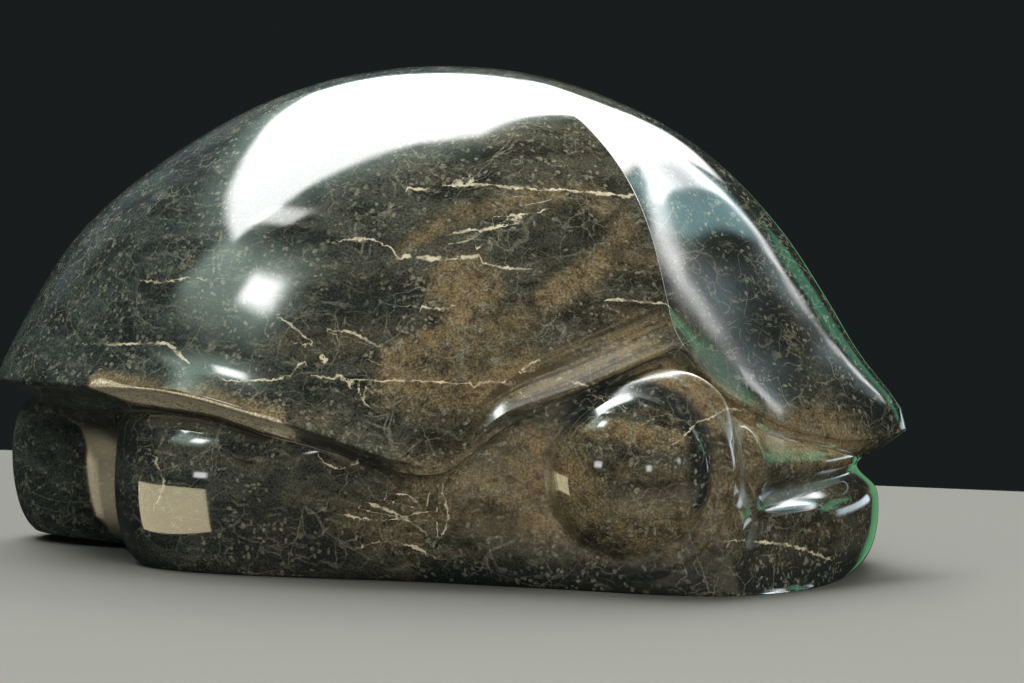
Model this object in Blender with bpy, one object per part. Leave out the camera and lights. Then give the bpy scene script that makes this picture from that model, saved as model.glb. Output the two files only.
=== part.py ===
"""A polished fossil-stone turtle in one solid: shell with a flared rim, hood, eye boss and flat foot."""
import bmesh
import bpy
import numpy as np

# Driving dimensions in metres; azimuths in degrees from the nose (+X), the same on both sides of the stone.
HEIGHT = 0.231             # top of the shell above the surface it stands on
FOOT = 0.055               # height at which the shell would reach its full outline
HALF_LENGTH = 0.2168       # half of the shell's full outline from nose to tail
HALF_WIDTH = 0.147         # half of the shell's full outline from side to side
EGG = 0.0070               # the outline is longer behind than in front by this much
OUTLINE_POWER = 2.3        # 2 would be an ellipse, more is squarer
DOME_POWER = 2.15          # roundness of the shell seen from the side
DOME_RISE = 0.75
BACK_SWELL = 0.0050        # extra fullness of the shell above the tail
BACK_SWELL_HEIGHT = 0.150
BACK_SWELL_SPREAD = 0.034
CREASE = 41.0              # azimuth of the crease where it meets the rim
CREASE_SWAY = 4.7          # how far the crease swings forward on its way up
EDGE = 0.0016              # rounding of the rim's lip
LIFT = 0.016               # height above the rim in which the shell flares out
EYE = (0.1065, 0.1300, 0.0535)   # centre of the eye boss, on the turtle's left
EYE_LEAN = 4.0             # the boss looks up by this much
EYE_RADIUS = 0.0365
EYE_STAND = 0.0185         # how far the boss stands out
CHEEK = 34.8               # azimuth of the fold between the eye and the muzzle
CHEEK_WIDTH = 2.6
CHEEK_DEPTH = 0.0035
FACET_DIP = 0.0040         # how far the facets before the crease sink in
MELT_IN = (70, 76)         # azimuths over which the rim melts into the side
MELT_OUT = (94, 86)        # and over which it comes out of it again
MOUTH_DEPTH = 0.0085
MOUTH_HALF = 0.0062
MOUTH_CORNER = (36, 27)    # azimuths over which the mouth opens

# Radius of the nose line at a few heights, (height, radius).
NOSE = [(0.055, 0.2250), (0.0683, 0.2203), (0.0763, 0.2198), (0.085, 0.2150), (0.095, 0.2078),
        (0.105, 0.2018), (0.118, 0.1965), (0.1375, 0.1878), (0.1563, 0.1766), (0.175, 0.1586),
        (0.195, 0.1320), (0.208, 0.1096), (0.222, 0.0650), (0.231, 0.0)]

# Rings round the eye boss, (radius, rise, half width); all but the first lie only in front of it.
RINGS = [(0.0382, -0.0018, 0.0022), (0.0450, 0.0010, 0.0018), (0.0495, -0.0018, 0.0030), (0.0545, 0.0010, 0.0025)]

# Curves round the stone, (azimuth, metres).
RIM_HEIGHT = [(0, 0.0683), (2, 0.0680), (4, 0.0669), (7, 0.0658), (10, 0.0659), (14, 0.0678),
              (20, 0.0716), (24, 0.0760), (28, 0.0813), (32, 0.0869), (36, 0.0948), (38.5, 0.1022),
              (41, 0.1098), (43.5, 0.1092), (48, 0.1046), (56, 0.0950), (64, 0.0864), (70, 0.0792),
              (73, 0.0725), (76, 0.0640), (79, 0.0572), (82, 0.0549), (85, 0.0561), (90, 0.0595),
              (100, 0.0678), (110, 0.0741), (122, 0.0813), (130, 0.0843), (140, 0.0840), (155, 0.0815),
              (180, 0.0800)]
FLARE = [(0, 0.001), (20, 0.002), (36, 0.003), (41, 0.004), (50, 0.007), (60, 0.007), (68, 0.005),
         (76, 0.001), (84, 0.0015), (95, 0.004), (110, 0.005), (130, 0.004), (150, 0.002), (165, 0.0),
         (180, 0.0)]
GROOVE_HEIGHT = [(0, 0.0530), (5, 0.0560), (10, 0.0595), (16, 0.0625), (22, 0.0660), (28, 0.0715),
                 (33, 0.0790), (38, 0.0900), (42, 0.0985), (47, 0.0985), (54, 0.0900), (62, 0.0815),
                 (68, 0.0750), (72, 0.0680), (76, 0.0590), (80, 0.0520), (84, 0.0505), (92, 0.0530),
                 (105, 0.0600), (116, 0.0640), (128, 0.0705), (140, 0.0705), (155, 0.068), (180, 0.068)]
GROOVE_REACH = [(0, 0.1985), (5, 0.1970), (10, 0.1940), (16, 0.1890), (22, 0.1830), (28, 0.1765),
                (33, 0.1725), (38, 0.1690), (44, 0.1640), (52, 0.1580), (60, 0.1545), (68, 0.1515),
                (76, 0.1500), (82, 0.1485), (88, 0.1450), (96, 0.1395), (105, 0.1390), (116, 0.1410),
                (128, 0.1480), (140, 0.1600), (150, 0.1700), (160, 0.1830), (170, 0.1960),
                (180, 0.2000)]
RECESS = [(0, 0.0), (8, 0.0005), (16, 0.001), (26, 0.001), (34, 0.001), (41, 0.002), (50, 0.002),
          (60, 0.001), (70, 0.0), (84, 0.0005), (95, 0.002), (120, 0.003), (150, 0.003), (180, 0.001)]
MOUTH_HEIGHT = [(0, 0.0482), (8, 0.0475), (14, 0.0465), (20, 0.0455), (26, 0.0445), (32, 0.0430),
                (40, 0.0400), (180, 0.038)]
BELLY = [(0, 0.2040), (10, 0.2032), (15, 0.2015), (20, 0.1993), (24, 0.1972), (28, 0.1955),
         (31, 0.1945), (34, 0.1950), (37, 0.1965), (40, 0.1965), (43, 0.1925), (48, 0.1840),
         (55, 0.1650), (65, 0.1500), (76, 0.1420), (90, 0.1370), (100, 0.1380), (110, 0.1440),
         (120, 0.1560), (130, 0.1690), (138, 0.1730), (144, 0.1690), (150, 0.1590), (156, 0.1490),
         (161, 0.1480), (166, 0.1730), (171, 0.2000), (180, 0.2120)]
BELLY_HEIGHT = [(0, 0.0272), (20, 0.025), (40, 0.030), (60, 0.034), (90, 0.035), (140, 0.038),
                (160, 0.042), (180, 0.044)]
BASE = [(0, 0.1900), (10, 0.1935), (20, 0.1980), (30, 0.2000), (38, 0.1960), (46, 0.1800), (55, 0.1540),
        (65, 0.1360), (76, 0.1240), (90, 0.1200), (100, 0.1250), (110, 0.1330), (120, 0.1450),
        (130, 0.1560), (137, 0.1580), (143, 0.1540), (150, 0.1450), (156, 0.1370), (161, 0.1370),
        (166, 0.1600), (171, 0.1850), (180, 0.1970)]
BASE_HEIGHT = [(0, 0.0), (140, 0.0), (150, 0.0), (158, 0.0005), (166, 0.003), (172, 0.004),
               (180, 0.004)]

# How finely the faces are laid: (from, to, count) over one side, and counts down the meridian.
COLUMNS = [(0, 8, 3), (8, 30, 6), (30, 38, 5), (38, 66, 20), (66, 140, 9), (140, 156, 3), (156, 180, 4)]
ROWS = {"dome": 13, "rim": 2, "low": (4, 13, 14), "base": 3}


def bend_weights(x, slope, h, closed):
    """Second derivatives of the cubic spline whose gaps are h and whose chords have these slopes."""
    n = len(x)
    m = np.zeros((n, n))
    rhs = np.zeros(n)
    for i in range(n):
        if not closed and i in (0, n - 1):
            m[i, i] = 1.0
            continue
        m[i, (i - 1) % n] += h[i - 1]
        m[i, i] += 2 * (h[i - 1] + h[i])
        m[i, (i + 1) % n] += h[i]
        rhs[i] = 6 * (slope[i] - slope[i - 1])
    return np.linalg.solve(m, rhs)


def blend(x, y, c, h, i, j, t):
    """Value of the spline at t inside gap i."""
    u = t - x[i]
    w = h[i] - u
    bend = (c[i] * w**3 + c[j] * u**3) / (6 * h[i])
    return bend + (y[i] / h[i] - c[i] * h[i] / 6) * w + (y[j] / h[i] - c[j] * h[i] / 6) * u


def around(stations, t):
    """Smooth value at azimuth t of a curve given by stations on one side and mirrored to the other."""
    a = np.array([s[0] for s in stations], float)
    v = np.array([s[1] for s in stations], float)
    x = np.concatenate([a, 360 - a[-2:0:-1]])
    y = np.concatenate([v, v[-2:0:-1]])
    n = len(x)
    h = np.diff(np.append(x, 360.0))
    slope = np.diff(np.append(y, y[0])) / h
    c = bend_weights(x, slope, h, True)
    t = np.mod(np.asarray(t, float), 360)
    i = np.clip(np.searchsorted(x, t, side="right") - 1, 0, n - 1)
    return blend(x, y, c, h, i, (i + 1) % n, t)


def nose_reach(z):
    """Radius of the nose line at height z."""
    x = np.array([s[0] for s in NOSE])
    y = np.array([s[1] for s in NOSE])
    h = np.diff(x)
    c = bend_weights(x, np.diff(y) / h, h, False)
    z = np.clip(z, x[0], x[-1])
    i = np.clip(np.searchsorted(x, z, side="right") - 1, 0, len(x) - 2)
    return blend(x, y, c, h, i, i + 1, z)


def ease(x, lo, hi):
    """Smooth step from 0 at lo to 1 at hi."""
    u = np.clip((x - lo) / (hi - lo), 0, 1)
    return u * u * (3 - 2 * u)


def fold(t):
    """Azimuth seen from the nose, the same on both sides."""
    return np.abs((np.asarray(t, float) + 180) % 360 - 180)


def dome_share(z):
    """Part of the full outline that the shell still has at height z."""
    g = np.clip((z - FOOT) / (HEIGHT - FOOT), 0, 1)
    return (1 - g ** (1 / DOME_RISE)) ** (1 / DOME_POWER)


def side_outline(t):
    """Full outline of the shell seen from above."""
    c = np.abs(np.cos(np.radians(t)))
    s = np.abs(np.sin(np.radians(t)))
    half = HALF_LENGTH - EGG * np.cos(np.radians(t))
    return ((c / half) ** OUTLINE_POWER + (s / HALF_WIDTH) ** OUTLINE_POWER) ** (-1 / OUTLINE_POWER)


def crease_azimuth(z):
    """Azimuth of the crease at height z."""
    return CREASE - CREASE_SWAY * ease(z, 0.115, 0.20)


def shell_radius(t, z):
    """Shell at azimuth t and height z; in front of the crease two flat facets meet in a rounded nose."""
    share = dome_share(z)
    swell = ease(fold(t), 105, 165) * np.exp(-(((z - BACK_SWELL_HEIGHT) / BACK_SWELL_SPREAD) ** 2))
    smooth = side_outline(t) * share + BACK_SWELL * swell
    nose = nose_reach(z)
    crease = crease_azimuth(z)
    corner = side_outline(crease) * share
    soft = 1.6 + 7.0 * ease(z, 0.065, 0.17)
    a = fold(t)
    u = np.sqrt(a**2 + soft**2) * crease / np.sqrt(crease**2 + soft**2)
    ur = np.radians(u)
    cr = np.radians(crease)
    line = np.sin(cr) / (np.sin(cr - ur) / np.maximum(nose, 1e-6) + np.sin(ur) / np.maximum(corner, 1e-6))
    facet = line - FACET_DIP * ease(z, 0.24, 0.16) * 4 * (u / crease) * (1 - u / crease)
    front = smooth + (facet - smooth) * ease(z, 0.226, 0.196)
    return np.where(a < crease, front, smooth)


def eye_boss(a, z, radius):
    """Half of a flattened ball with its flat side on the body and fine rings round its foot."""
    c = np.cos(np.radians(a))
    s = np.sin(np.radians(a))
    lean_c = np.cos(np.radians(EYE_LEAN))
    lean_s = np.sin(np.radians(EYE_LEAN))
    ahead = radius * c - EYE[0]
    up = (z - EYE[2]) * lean_c - (radius * s - EYE[1]) * lean_s
    off = np.hypot(ahead, up)
    front = ease(ahead / np.maximum(off, 1e-6), -0.4, 0.3)
    low = ease(z, 0.0, 0.014)
    for k, (ring, rise, half) in enumerate(RINGS):
        share = low * (front if k else 1.0)
        radius = radius + rise * share * np.exp(-(((off - ring) / half) ** 2))
    way = np.stack([c / EYE_RADIUS, -s * lean_s / EYE_RADIUS, s * lean_c / EYE_STAND])
    start = np.stack([-EYE[0] / EYE_RADIUS + 0 * z,
                      (EYE[1] * lean_s + (z - EYE[2]) * lean_c) / EYE_RADIUS,
                      (-EYE[1] * lean_c + (z - EYE[2]) * lean_s) / EYE_STAND])
    p = (way * way).sum(axis=0)
    q = (way * start).sum(axis=0)
    inside = q**2 - p * ((start * start).sum(axis=0) - 1)
    ball = (np.sqrt(np.maximum(inside, 0)) - q) / p
    both = 0.5 * (radius + ball + np.sqrt((radius - ball) ** 2 + 0.0008**2))
    return np.where((inside > 0) & (c > -0.5), both, radius)


def add_features(a, z, radius):
    """Mouth, cheek fold and eye boss laid on the body below the hood."""
    radius = radius - CHEEK_DEPTH * np.exp(-(((a - CHEEK) / CHEEK_WIDTH) ** 2)) * ease(z, 0.004, 0.050)
    open_mouth = MOUTH_DEPTH * ease(a, *MOUTH_CORNER)
    radius = radius - open_mouth * np.exp(-(((z - around(MOUTH_HEIGHT, a)) / MOUTH_HALF) ** 2))
    return eye_boss(a, z, radius)


def even_steps(r, z, marks, counts):
    """Lays equal steps down every column of a finely drawn profile, so many from mark to mark."""
    length = np.hypot(np.diff(r, axis=0), np.diff(z, axis=0))
    along = np.concatenate([np.zeros((1, r.shape[1])), np.cumsum(length, axis=0)])
    out_r = np.empty((sum(counts), r.shape[1]))
    out_z = np.empty((sum(counts), r.shape[1]))
    for j in range(r.shape[1]):
        at = [0.0] + [along[m[j], j] for m in marks] + [along[-1, j]]
        stops = np.concatenate([np.linspace(at[i], at[i + 1], n + 1)[1:] for i, n in enumerate(counts)])
        out_r[:, j] = np.interp(stops, along[:, j], r[:, j])
        out_z[:, j] = np.interp(stops, along[:, j], z[:, j])
    return out_r, out_z


def meridians(t):
    """Radius, height and azimuth of every grid point: a column per azimuth, a row per step down."""
    a = t[None, :]
    side = fold(a)
    top = around(RIM_HEIGHT, t)
    u = np.linspace(0, 1, ROWS["dome"] + 1)[1:, None]
    z = FOOT + (HEIGHT - FOOT) * (1 - (u * dome_share(top)) ** DOME_POWER) ** DOME_RISE
    f = np.clip((top + LIFT - z) / LIFT, 0, 1)
    sway = np.where(side < CREASE, side / CREASE, 1 - ease(side, CREASE, 85.0)) * (crease_azimuth(z) - CREASE)
    turned = a + np.where((a + 180) % 360 < 180, -1.0, 1.0) * sway
    r = shell_radius(turned, z) + around(FLARE, t) * f**2.2
    start = np.arctan2(r[-1] - r[-2], z[-2] - z[-1])
    k = np.linspace(0, 1, ROWS["rim"] + 1)[1:, None]
    melt = ease(side, *MELT_IN) * ease(side, *MELT_OUT)
    angle = start + (np.radians(-75.0 + 70.0 * melt) - start) * k
    rim_r = r[-1] + EDGE * (np.cos(angle) - np.cos(start))
    rim_z = z[-1] + EDGE * (np.sin(angle) - np.sin(start))
    groove_r = around(GROOVE_REACH, t)
    groove_z = np.minimum(around(GROOVE_HEIGHT, t), rim_z[-1] - 0.0008)
    k = np.linspace(0, 1, 41)[:, None]
    under_r = rim_r[-1] + (groove_r - rim_r[-1]) * k - around(RECESS, t) * np.sin(np.pi * k**0.75) ** 2
    under_z = rim_z[-1] + (groove_z - rim_z[-1]) * k
    belly_r = around(BELLY, t)
    belly_z = around(BELLY_HEIGHT, t)
    k = np.radians(90 * (1 - np.linspace(0, 1, 161)[1:, None] ** 1.5))
    full = 1.0 - 0.45 * ease(side, 24.0, 40.0) * ease(side, 98.0, 84.0)
    full = full - 0.20 * ease(side, 28.0, 42.0) * ease(side, 72.0, 60.0)
    body_r = groove_r + (belly_r - groove_r) * np.cos(k) ** full
    body_z = belly_z + (groove_z - belly_z) * np.sin(k)
    base_r = around(BASE, t)
    base_z = np.maximum(around(BASE_HEIGHT, t), 0.0)
    k = np.linspace(0, -np.pi / 2, 81)[1:, None]
    foot_r = base_r + (belly_r - base_r) * np.cos(k)
    foot_z = belly_z + (belly_z - base_z) * np.sin(k)
    low_r = np.concatenate([under_r, body_r, foot_r])
    low_z = np.concatenate([under_z, body_z, foot_z])
    groove_row = np.full(len(t), 40)
    mouth_row = np.abs(low_z[41:] - around(MOUTH_HEIGHT, t)).argmin(axis=0) + 41
    low_r, low_z = even_steps(low_r, low_z, [groove_row, mouth_row], ROWS["low"])
    low_r = add_features(side, low_z, low_r)
    k = np.linspace(1, 0, ROWS["base"] + 1)[1:-1, None]
    flat_r = low_r[-1] * k
    flat_z = low_z[-1] * k**2
    radius = np.concatenate([r, rim_r, low_r, flat_r])
    height = np.concatenate([z, rim_z, low_z, flat_z])
    still = np.broadcast_to(a, (len(radius) - len(z), len(t)))
    return radius, height, np.radians(np.concatenate([turned, still]))


def build():
    """Lays the faces and makes the one solid."""
    half = [np.linspace(lo, hi, n + 1)[:-1] for lo, hi, n in COLUMNS]
    half = np.append(np.concatenate(half), 180.0)
    t = np.concatenate([half, 360 - half[-2:0:-1]])
    radius, height, azimuth = meridians(t)
    x = radius * np.cos(azimuth)
    x = x - (x.max() + x.min()) / 2
    points = np.stack([x, radius * np.sin(azimuth), height], -1)
    m, n = radius.shape
    mesh = bmesh.new()
    grid = [[mesh.verts.new(tuple(points[i, j])) for j in range(n)] for i in range(m)]
    apex = mesh.verts.new((float(x[0].mean()), 0.0, HEIGHT))
    centre = mesh.verts.new((float(x[-1].mean()), 0.0, 0.0))
    for j in range(n):
        k = (j + 1) % n
        mesh.faces.new((apex, grid[0][j], grid[0][k]))
        mesh.faces.new((centre, grid[-1][k], grid[-1][j]))
        for i in range(m - 1):
            mesh.faces.new((grid[i][j], grid[i + 1][j], grid[i + 1][k]))
            mesh.faces.new((grid[i][j], grid[i + 1][k], grid[i][k]))
    data = bpy.data.meshes.new("fossil_turtle_shell")
    mesh.to_mesh(data)
    mesh.free()
    stone = bpy.data.materials.new("polished_fossil_stone")
    stone.use_nodes = True
    surface = stone.node_tree.nodes["Principled BSDF"]
    surface.inputs["Base Color"].default_value = (0.075, 0.062, 0.045, 1.0)
    surface.inputs["Roughness"].default_value = 0.1
    surface.inputs["Metallic"].default_value = 0.0
    data.materials.append(stone)
    part = bpy.data.objects.new("fossil_turtle_shell", data)
    bpy.context.scene.collection.objects.link(part)


for old in list(bpy.data.objects):
    bpy.data.objects.remove(old, do_unlink=True)
build()
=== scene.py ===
"""A polished fossil-stone turtle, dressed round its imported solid."""

import bpy
import numpy as np
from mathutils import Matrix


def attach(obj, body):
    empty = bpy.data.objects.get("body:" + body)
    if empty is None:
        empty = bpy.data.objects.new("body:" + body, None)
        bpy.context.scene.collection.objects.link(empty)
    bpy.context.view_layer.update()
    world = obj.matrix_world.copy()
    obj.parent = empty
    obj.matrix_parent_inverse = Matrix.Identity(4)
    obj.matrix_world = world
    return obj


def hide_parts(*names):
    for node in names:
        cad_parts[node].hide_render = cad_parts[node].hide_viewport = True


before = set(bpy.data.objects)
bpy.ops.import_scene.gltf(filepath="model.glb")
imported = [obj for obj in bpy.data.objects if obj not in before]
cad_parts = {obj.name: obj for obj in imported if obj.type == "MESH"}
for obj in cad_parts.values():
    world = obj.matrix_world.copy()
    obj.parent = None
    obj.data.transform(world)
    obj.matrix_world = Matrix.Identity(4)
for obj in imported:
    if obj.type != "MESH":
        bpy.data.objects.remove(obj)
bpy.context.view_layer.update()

# The turtle is one block of dark limestone full of fossil fragments and calcite veins.
# It is sawn, ground to a domed shell over a body with eye bosses, and polished like glass.
# It stands by its own weight on a flat base.


def bend_weights(x, slope, h, closed):
    """Second derivatives of a cubic spline at its stations x.

    In every station the two pieces that meet have the same slope, which gives one linear equation each: the
    gap before times the derivative before, twice both gaps times its own, and the gap after times the one
    after add up to six times the change of the chords' slope. An open curve is straight at its two ends.
    """
    n = len(x)
    m = np.zeros((n, n))
    rhs = np.zeros(n)
    for i in range(n):
        if not closed and i in (0, n - 1):
            m[i, i] = 1.0
            continue
        m[i, (i - 1) % n] += h[i - 1]
        m[i, i] += 2 * (h[i - 1] + h[i])
        m[i, (i + 1) % n] += h[i]
        rhs[i] = 6 * (slope[i] - slope[i - 1])
    return np.linalg.solve(m, rhs)


def blend(x, y, c, h, i, j, t):
    """Value of the spline at t in gap i, between stations i and j.

    It is a straight line between the two stations, plus the cubes of the distances to them, weighted by the
    derivatives c.
    """
    u = t - x[i]
    w = h[i] - u
    bend = (c[i] * w**3 + c[j] * u**3) / (6 * h[i])
    return bend + (y[i] / h[i] - c[i] * h[i] / 6) * w + (y[j] / h[i] - c[j] * h[i] / 6) * u


def around(stations, t):
    """Smooth value at azimuth t of a curve with stations (azimuth, value) on one side: a closed cubic spline
    through the stations and their mirror images on the other side."""
    a = np.array([s[0] for s in stations], float)
    v = np.array([s[1] for s in stations], float)
    x = np.concatenate([a, 360 - a[-2:0:-1]])
    y = np.concatenate([v, v[-2:0:-1]])
    n = len(x)
    h = np.diff(np.append(x, 360.0))
    slope = np.diff(np.append(y, y[0])) / h
    c = bend_weights(x, slope, h, True)
    t = np.mod(np.asarray(t, float), 360)
    i = np.clip(np.searchsorted(x, t, side="right") - 1, 0, n - 1)
    return blend(x, y, c, h, i, (i + 1) % n, t)


def ease(x, lo, hi):
    """Smooth step from 0 at lo to 1 at hi: three times the square of the way less twice its cube."""
    u = np.clip((x - lo) / (hi - lo), 0, 1)
    return u * u * (3 - 2 * u)


def fold(t):
    """Azimuth from the nose without its sign, 0 to 180, the same on both sides."""
    return np.abs((np.asarray(t, float) + 180) % 360 - 180)


# The shell: a dome on an egg-shaped outline. In front of the two creases, flatter facets make the hood.
# Lengths are in metres, azimuths in degrees from the nose (+X). The shape is the same on both sides.
HEIGHT = 0.231                        # top of the shell above the surface it stands on
FOOT = 0.055                          # height at which the shell would reach its full outline
HALF_LENGTH = 0.2168                  # half of the shell's full outline from nose to tail
HALF_WIDTH = 0.147                    # half of it from side to side
EGG = 0.0070                          # the outline is longer behind than in front by this much
OUTLINE_POWER = 2.3                   # 2 would be an ellipse, more is squarer
DOME_POWER = 2.15                     # roundness of the shell seen from the side
DOME_RISE = 0.75                      # less is a flatter top
BACK_SWELL = 0.0050                   # extra fullness of the shell above the tail
BACK_SWELL_AZIMUTHS = (105, 165)      # where it comes in
BACK_SWELL_HEIGHT = 0.150             # where it is fullest
BACK_SWELL_SPREAD = 0.034
CREASE = 41.0                         # azimuth of the crease where it meets the rim
CREASE_SWAY = 4.7                     # how far the crease swings forward on its way up
CREASE_SWAY_HEIGHTS = (0.115, 0.20)   # where it swings
FACET_DIP = 0.0040                    # how far the facets before the crease sink in
FACET_DIP_HEIGHTS = (0.24, 0.16)      # where the dip comes in, from the top down
FACET_HEIGHTS = (0.226, 0.196)        # where the facets themselves come in
NOSE_SOFT = 1.6                       # degrees over which the two facets melt together at the rim
NOSE_SOFTER = 7.0                     # and how many more above
NOSE_SOFT_HEIGHTS = (0.065, 0.17)

# The nose line from the rim to the top, (height, radius).
NOSE = [(0.055, 0.2250), (0.0683, 0.2203), (0.0763, 0.2198), (0.085, 0.2150), (0.095, 0.2078),
        (0.105, 0.2018), (0.118, 0.1965), (0.1375, 0.1878), (0.1563, 0.1766), (0.175, 0.1586),
        (0.195, 0.1320), (0.208, 0.1096), (0.222, 0.0650), (0.231, 0.0)]


def nose_reach(z):
    """Radius of the nose line at height z: an open cubic spline through its stations."""
    x = np.array([s[0] for s in NOSE])
    y = np.array([s[1] for s in NOSE])
    h = np.diff(x)
    c = bend_weights(x, np.diff(y) / h, h, False)
    z = np.clip(z, x[0], x[-1])
    i = np.clip(np.searchsorted(x, z, side="right") - 1, 0, len(x) - 2)
    return blend(x, y, c, h, i, i + 1, z)


def dome_share(z):
    """Part of the full outline that the shell still has at height z: 1 less a power of the way up, and a
    power of that."""
    g = np.clip((z - FOOT) / (HEIGHT - FOOT), 0, 1)
    return (1 - g ** (1 / DOME_RISE)) ** (1 / DOME_POWER)


def side_outline(t):
    """Radius of the full outline seen from above: a squarish ellipse, whose power is above 2 and whose half
    length is more behind than in front."""
    c = np.abs(np.cos(np.radians(t)))
    s = np.abs(np.sin(np.radians(t)))
    half = HALF_LENGTH - EGG * np.cos(np.radians(t))
    return ((c / half) ** OUTLINE_POWER + (s / HALF_WIDTH) ** OUTLINE_POWER) ** (-1 / OUTLINE_POWER)


def crease_azimuth(z):
    """Azimuth of the crease at height z: it swings forward by a smooth step."""
    return CREASE - CREASE_SWAY * ease(z, *CREASE_SWAY_HEIGHTS)


def shell_radius(t, z):
    """Radius of the shell at azimuth t and height z.

    Behind the crease it is the outline times the dome's share, and a bell-shaped swell above the tail. In
    front of it each level is a straight line from the nose line to the crease, sunk in by a parabola, and
    the azimuth is rounded off at the nose so that the two facets meet without an edge.
    """
    share = dome_share(z)
    swell = np.exp(-(((z - BACK_SWELL_HEIGHT) / BACK_SWELL_SPREAD) ** 2))
    swell = ease(fold(t), *BACK_SWELL_AZIMUTHS) * swell
    smooth = side_outline(t) * share + BACK_SWELL * swell
    nose = nose_reach(z)
    crease = crease_azimuth(z)
    corner = side_outline(crease) * share
    soft = NOSE_SOFT + NOSE_SOFTER * ease(z, *NOSE_SOFT_HEIGHTS)
    a = fold(t)
    u = np.sqrt(a**2 + soft**2) * crease / np.sqrt(crease**2 + soft**2)
    ur = np.radians(u)
    cr = np.radians(crease)
    line = np.sin(cr) / (np.sin(cr - ur) / np.maximum(nose, 1e-6) + np.sin(ur) / np.maximum(corner, 1e-6))
    facet = line - FACET_DIP * ease(z, *FACET_DIP_HEIGHTS) * 4 * (u / crease) * (1 - u / crease)
    front = smooth + (facet - smooth) * ease(z, *FACET_HEIGHTS)
    return np.where(a < crease, front, smooth)


# The eye bosses: half a flattened ball on each side of the head, in fine rings.
EYE = (0.1065, 0.1300, 0.0535)   # centre of the boss, on the turtle's left
EYE_LEAN = 4.0                   # it looks up by this many degrees
EYE_RADIUS = 0.0365
EYE_STAND = 0.0185               # how far it stands out
EYE_MELT = 0.0008                # width over which ball and body run together

# The rings, (radius, rise, half width); all but the first lie only in front of the boss.
RINGS = [(0.0382, -0.0018, 0.0022), (0.0450, 0.0010, 0.0018),
         (0.0495, -0.0018, 0.0030), (0.0545, 0.0010, 0.0025)]


def eye_boss(a, z, radius):
    """Radius of the body with the boss on it, at azimuth a and height z.

    The rings are bell curves of the distance from the boss's centre. The ball is where the ray from the
    stone's middle line leaves a flattened ball, the larger root of a quadratic. The larger of ball and body
    counts, rounded off where they are equal.
    """
    c = np.cos(np.radians(a))
    s = np.sin(np.radians(a))
    lean_c = np.cos(np.radians(EYE_LEAN))
    lean_s = np.sin(np.radians(EYE_LEAN))
    ahead = radius * c - EYE[0]
    up = (z - EYE[2]) * lean_c - (radius * s - EYE[1]) * lean_s
    off = np.hypot(ahead, up)
    front = ease(ahead / np.maximum(off, 1e-6), -0.4, 0.3)
    low = ease(z, 0.0, 0.014)
    for k, (ring, rise, half) in enumerate(RINGS):
        share = low * (front if k else 1.0)
        radius = radius + rise * share * np.exp(-(((off - ring) / half) ** 2))
    way = np.stack([c / EYE_RADIUS, -s * lean_s / EYE_RADIUS, s * lean_c / EYE_STAND])
    start = np.stack([-EYE[0] / EYE_RADIUS + 0 * z,
                      (EYE[1] * lean_s + (z - EYE[2]) * lean_c) / EYE_RADIUS,
                      (-EYE[1] * lean_c + (z - EYE[2]) * lean_s) / EYE_STAND])
    p = (way * way).sum(axis=0)
    q = (way * start).sum(axis=0)
    inside = q**2 - p * ((start * start).sum(axis=0) - 1)
    ball = (np.sqrt(np.maximum(inside, 0)) - q) / p
    both = 0.5 * (radius + ball + np.sqrt((radius - ball) ** 2 + EYE_MELT**2))
    return np.where((inside > 0) & (c > -0.5), both, radius)


# The face: the fold between eye and muzzle, and the mouth line.
CHEEK = 34.8                     # azimuth of the fold between the eye and the muzzle
CHEEK_WIDTH = 2.6
CHEEK_DEPTH = 0.0035
CHEEK_HEIGHTS = (0.004, 0.050)   # where the fold comes in, from the base up
MOUTH_DEPTH = 0.0085
MOUTH_HALF = 0.0062
MOUTH_CORNER = (36, 27)          # azimuths over which the mouth opens
MOUTH_HEIGHT = [(0, 0.0482), (8, 0.0475), (14, 0.0465), (20, 0.0455), (26, 0.0445), (32, 0.0430),
                (40, 0.0400), (180, 0.038)]


def add_features(a, z, radius):
    """Radius of the body with its fold, mouth and bosses: bell curves across the fold and the mouth line are
    taken off, then the bosses are put on."""
    radius = radius - CHEEK_DEPTH * np.exp(-(((a - CHEEK) / CHEEK_WIDTH) ** 2)) * ease(z, *CHEEK_HEIGHTS)
    open_mouth = MOUTH_DEPTH * ease(a, *MOUTH_CORNER)
    radius = radius - open_mouth * np.exp(-(((z - around(MOUTH_HEIGHT, a)) / MOUTH_HALF) ** 2))
    return eye_boss(a, z, radius)


# The rim and the body under it: a flared lip, a groove, a belly of limbs and tail, and the flat base's edge.
EDGE = 0.0016                       # rounding of the rim's lip
EDGE_END = -75.0                    # slope in degrees at which the lip ends
EDGE_END_MELTED = 70.0              # and how many more where it melts in
LIFT = 0.016                        # height above the rim in which the shell flares out
FLARE_POWER = 2.2                   # 1 would be a straight flare, more turns out later
MELT_IN = (70, 76)                  # azimuths over which the rim melts into the side
MELT_OUT = (94, 86)                 # and over which it comes out of it again
SWAY_END = 85.0                     # azimuth up to which the columns swing along with the crease

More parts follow.
